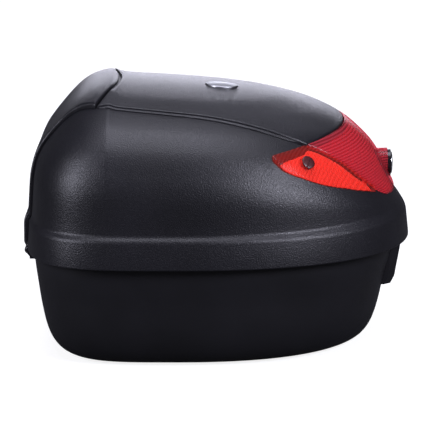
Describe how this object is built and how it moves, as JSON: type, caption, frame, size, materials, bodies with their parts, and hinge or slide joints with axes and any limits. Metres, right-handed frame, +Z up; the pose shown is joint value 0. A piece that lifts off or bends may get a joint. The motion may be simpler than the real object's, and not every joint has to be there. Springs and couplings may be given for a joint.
{
  "type": "motorcycle top case",
  "caption": "Hard motorcycle luggage case with a hinged domed lid, wrap-around red rear lens, push-button key lock and a base plate release.",
  "frame": {"origin": "centre of the bounding box on the plane the case rests on", "axes": "+X towards the rear of the motorcycle (the lens and lock), +Y to the motorcycle's left, +Z up"},
  "size_m": [0.3956, 0.38, 0.2668],
  "materials": {
    "base_plastic": "fine grained black moulded polypropylene",
    "lid_plastic": "pebble grained black moulded plastic",
    "panel_plastic": "pebble grained black cover panels",
    "inner_plastic": "plain satin black inner covers",
    "lock_black": "semi gloss black ring",
    "seal_rubber": "soft black rubber",
    "centre_lens_red": "clear dark red moulded lens with fine ribs",
    "side_lens_red": "clear bright red moulded lens with fine ribs",
    "reflector_red": "prismatic red reflector backing",
    "badge_silver": "satin silver domed disc",
    "lock_chrome": "polished chrome",
    "steel": "zinc plated steel",
    "screw_dark": "black coated screws",
    "lens_screw_maroon": "dark maroon slotted lens screws"
  },
  "bodies": {
    "base": {"base_shell": "base_plastic", "rim_gasket": "seal_rubber", "hinge_bracket_left": "base_plastic", "hinge_bracket_right": "base_plastic", "hinge_pin_left": "screw_dark", "hinge_pin_right": "screw_dark", "hinge_screw_left_1": "screw_dark", "hinge_screw_left_2": "screw_dark", "hinge_screw_right_1": "screw_dark", "hinge_screw_right_2": "screw_dark", "striker": "steel", "striker_screw_left": "screw_dark", "striker_screw_right": "screw_dark", "release_housing": "base_plastic", "release_tab_pin": "steel", "mechanism_cover": "inner_plastic", "bolt_spring": "steel"},
    "lid": {"lid_shell": "lid_plastic", "top_cover": "panel_plastic", "backrest_panel": "panel_plastic", "badge": "badge_silver", "centre_lens": "centre_lens_red", "side_lens_left": "side_lens_red", "side_lens_right": "side_lens_red", "centre_reflector": "reflector_red", "side_reflector_left": "reflector_red", "side_reflector_right": "reflector_red", "lens_screw_left": "lens_screw_maroon", "lens_screw_right": "lens_screw_maroon", "lock_barrel": "lock_black", "lock_housing": "inner_plastic", "hook_pin": "steel", "lock_cover": "inner_plastic", "lock_cover_screw_left": "screw_dark", "lock_cover_screw_right": "screw_dark", "button_spring": "steel"},
    "lock_button": {"lock_button": "lock_chrome"},
    "key_plug": {"key_plug": "lock_chrome"},
    "latch_hook": {"latch_hook": "steel"},
    "release_tab": {"release_tab": "base_plastic"},
    "plate_bolt": {"plate_bolt": "steel"}
  },
  "joints": [
    {"name": "lid_hinge", "type": "hinge", "parent": "base", "child": "lid", "pos_m": [-0.19355, 0, 0.101], "axis": [0, -1, 0], "range_deg": [0, 85]},
    {"name": "button_slide", "type": "slide", "parent": "lid", "child": "lock_button", "axis": [-1, 0, 0], "range_m": [0, 0.005], "stiffness_N_per_m": 1500, "springref_m": -0.004, "deforming": ["button_spring"]},
    {"name": "key_turn", "type": "hinge", "parent": "lock_button", "child": "key_plug", "pos_m": [0.17575, 0, 0.1752], "axis": [1, 0, 0], "range_deg": [0, 90]},
    {"name": "hook_pivot", "type": "hinge", "parent": "lid", "child": "latch_hook", "pos_m": [0.14375, 0, 0.138], "axis": [0, -1, 0], "range_deg": [0, 8.2]},
    {"name": "release_tab_hinge", "type": "hinge", "parent": "base", "child": "release_tab", "pos_m": [0.18035, 0, 0.08], "axis": [0, 1, 0], "range_deg": [0, 6.8]},
    {"name": "plate_bolt_slide", "type": "slide", "parent": "base", "child": "plate_bolt", "axis": [0, 0, 1], "range_m": [0, 0.0075], "stiffness_N_per_m": 250, "springref_m": -0.01, "deforming": ["bolt_spring"]}
  ],
  "couplings": [
    {"joint": "hook_pivot", "follows": "button_slide", "rad_per_m": 27.5},
    {"joint": "release_tab_hinge", "follows": "plate_bolt_slide", "rad_per_m": 15.5}
  ]
}
